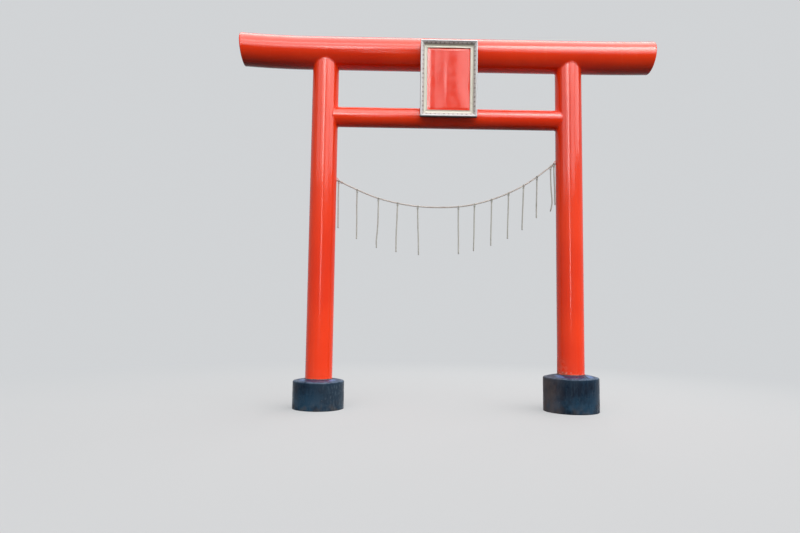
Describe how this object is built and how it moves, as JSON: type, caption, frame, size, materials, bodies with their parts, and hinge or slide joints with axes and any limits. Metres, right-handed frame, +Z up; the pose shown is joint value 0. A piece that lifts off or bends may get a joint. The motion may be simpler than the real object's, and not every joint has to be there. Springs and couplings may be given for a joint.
{
  "type": "torii gate",
  "caption": "Torii gate of painted round pipe: upturned top lintel, tie beam, black footings, framed plaque, and a sagging rope with hanging strands.",
  "frame": {"origin": "midway between the pillars, on the level that the footings stand on", "axes": "+X along the gate to the viewer's right, +Z up, and the front with the plaque faces -Y"},
  "size_m": [3.4551, 0.44, 3.0752],
  "materials": {
    "footing_paint": "satin",
    "vermilion_paint": "gloss",
    "frame_paint": "satin",
    "panel_enamel": "gloss",
    "board": "matte",
    "bracket_steel": "satin",
    "rope_fibre": "matte",
    "straw": "matte"
  },
  "bodies": {
    "root": {"left_footing": "footing_paint", "right_footing": "footing_paint", "left_pillar": "vermilion_paint", "right_pillar": "vermilion_paint", "top_lintel": "vermilion_paint", "left_lintel_cap": "vermilion_paint", "right_lintel_cap": "vermilion_paint", "tie_beam": "vermilion_paint", "left_rope_staple": "vermilion_paint", "right_rope_staple": "vermilion_paint", "plaque_top_rail": "frame_paint", "plaque_bottom_rail": "frame_paint", "plaque_left_stile": "frame_paint", "plaque_right_stile": "frame_paint", "plaque_panel": "panel_enamel", "plaque_back_board": "board", "upper_left_plaque_bracket": "bracket_steel", "upper_right_plaque_bracket": "bracket_steel", "lower_left_plaque_bracket": "bracket_steel", "lower_right_plaque_bracket": "bracket_steel", "rope": "rope_fibre", "strand_01": "straw", "strand_02": "straw", "strand_03": "straw", "strand_04": "straw", "strand_05": "straw", "strand_06": "straw", "strand_07": "straw", "strand_08": "straw", "strand_09": "straw", "strand_10": "straw", "strand_11": "straw", "strand_12": "straw", "strand_13": "straw"}
  },
  "joints": []
}
